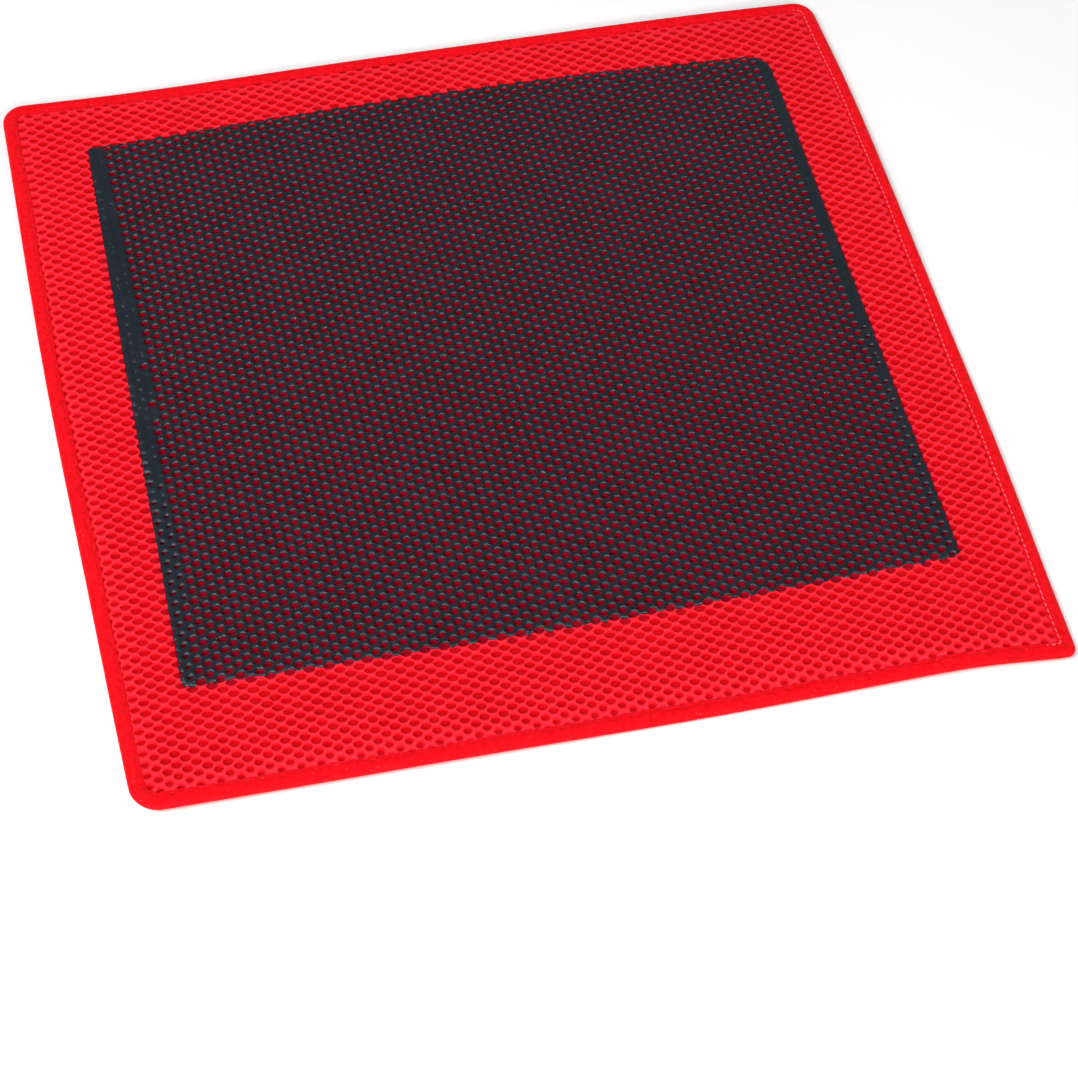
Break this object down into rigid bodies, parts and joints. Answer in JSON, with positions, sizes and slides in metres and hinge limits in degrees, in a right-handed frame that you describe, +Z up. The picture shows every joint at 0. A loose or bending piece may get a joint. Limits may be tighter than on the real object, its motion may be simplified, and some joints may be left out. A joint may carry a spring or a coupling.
{
  "type": "mesh clay towel",
  "caption": "Flat square spacer-knit towel with a perforated coat of polymer clay printed on its face and a stitched bound edge; folds in half, clay side in.",
  "frame": {"origin": "middle of the outline, on the underside the towel rests on", "axes": "+X across the width, at right angles to the fold line; +Y along the fold line towards the back edge; +Z up, out of the clay side"},
  "size_m": [0.32, 0.312, 0.0037],
  "materials": {
    "knit_red": "matte",
    "pile_red": "matte",
    "clay_black": "satin",
    "binding_red": "matte",
    "thread_pink": "satin"
  },
  "bodies": {
    "left_half": {"back_knit_left": "knit_red", "spacer_pile_left": "pile_red", "face_mesh_left": "knit_red", "clay_coat_left": "clay_black", "edge_binding_left": "binding_red", "needle_thread_left": "thread_pink", "bobbin_thread_left": "thread_pink"},
    "right_half": {"back_knit_right": "knit_red", "spacer_pile_right": "pile_red", "face_mesh_right": "knit_red", "clay_coat_right": "clay_black", "edge_binding_right": "binding_red", "needle_thread_right": "thread_pink", "bobbin_thread_right": "thread_pink"}
  },
  "joints": [
    {"name": "centre_fold", "type": "hinge", "parent": "left_half", "child": "right_half", "pos_m": [0, 0, 0.0041], "axis": [0, -1, 0], "range_deg": [0, 179]}
  ]
}
